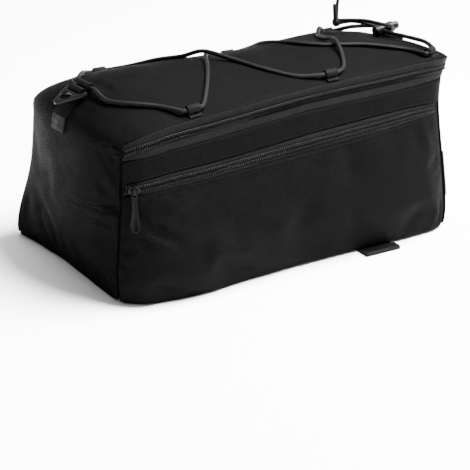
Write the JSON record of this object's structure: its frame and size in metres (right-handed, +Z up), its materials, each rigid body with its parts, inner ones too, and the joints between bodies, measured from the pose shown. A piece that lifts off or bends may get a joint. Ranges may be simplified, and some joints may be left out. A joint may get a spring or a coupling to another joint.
{
  "type": "bicycle trunk bag",
  "caption": "Soft box-shaped bag for a bicycle's rear rack, with a zipped lid, a zipped side pocket and elastic lacing on top.",
  "frame": {"origin": "middle of the bag's box in X and Y, on the surface that the rack straps lie on", "axes": "+X to the rear of the bicycle, +Y to its right side, +Z up; the side pocket is on -Y"},
  "size_m": [0.3774, 0.2495, 0.2072],
  "materials": {
    "shell_cloth": "matt coated woven cloth",
    "zip_tape": "matt woven tape",
    "zip_coil": "satin nylon coil",
    "dark_metal": "dark satin",
    "webbing": "matt woven webbing",
    "black_plastic": "satin moulded",
    "elastic_cord": "woven sheath",
    "reflective_band": "retroreflective grey"
  },
  "bodies": {
    "bag": {"base_panel": "shell_cloth", "bungee_lacing": "elastic_cord", "cord_knot": "elastic_cord", "cord_lock_body": "black_plastic", "cord_loop_left_1": "webbing", "cord_loop_left_2": "webbing", "cord_loop_left_3": "webbing", "cord_loop_right_1": "webbing", "cord_loop_right_2": "webbing", "cord_loop_right_3": "webbing", "cord_tail_1": "elastic_cord", "cord_tail_2": "elastic_cord", "cord_tip_1": "elastic_cord", "cord_tip_2": "elastic_cord", "front_webbing": "webbing", "main_zip_coil": "zip_coil", "main_zip_lower_tape": "zip_tape", "main_zip_slider": "dark_metal", "main_zip_upper_tape": "zip_tape", "pocket_panel": "shell_cloth", "pocket_zip_coil": "zip_coil", "pocket_zip_lower_tape": "zip_tape", "pocket_zip_slider": "dark_metal", "pocket_zip_upper_tape": "zip_tape", "rack_strap_front": "webbing", "rack_strap_rear": "webbing", "rear_panel": "shell_cloth", "rear_patch": "webbing", "rear_reflective_band": "reflective_band", "rear_webbing": "webbing", "side_panel_left": "shell_cloth", "side_panel_right": "shell_cloth", "top_front_panel": "shell_cloth"},
    "pocket_zip_pull": {"pocket_zip_pull": "dark_metal"},
    "main_zip_pull": {"main_zip_pull": "dark_metal"},
    "front_ring": {"front_ring": "black_plastic"},
    "rear_ring": {"rear_ring": "black_plastic"},
    "cord_lock_button": {"cord_lock_button": "black_plastic"}
  },
  "joints": [
    {"name": "pocket_zip_pull_hinge", "type": "hinge", "parent": "bag", "child": "pocket_zip_pull", "pos_m": [-0.16309, -0.10187, 0.10544], "axis": [-0.9188, 0.3947, 0], "range_deg": [-5, 120]},
    {"name": "main_zip_pull_hinge", "type": "hinge", "parent": "bag", "child": "main_zip_pull", "pos_m": [-0.15242, 0.10201, 0.13377], "axis": [0.9884, 0.1517, 0], "range_deg": [-5, 120]},
    {"name": "front_ring_hinge", "type": "hinge", "parent": "bag", "child": "front_ring", "pos_m": [-0.16516, 0.00016, 0.16851], "axis": [0, 0.9993, -0.0377], "range_deg": [0, 100]},
    {"name": "rear_ring_hinge", "type": "hinge", "parent": "bag", "child": "rear_ring", "pos_m": [0.18266, -0.00157, 0.15466], "axis": [0, 0.9924, -0.1228], "range_deg": [-100, 0]},
    {"name": "lock_button_slide", "type": "slide", "parent": "bag", "child": "cord_lock_button", "axis": [-0.9885, 0, -0.1513], "range_m": [0, 0.0031], "stiffness_N_per_m": 400, "springref_m": -0.003}
  ]
}
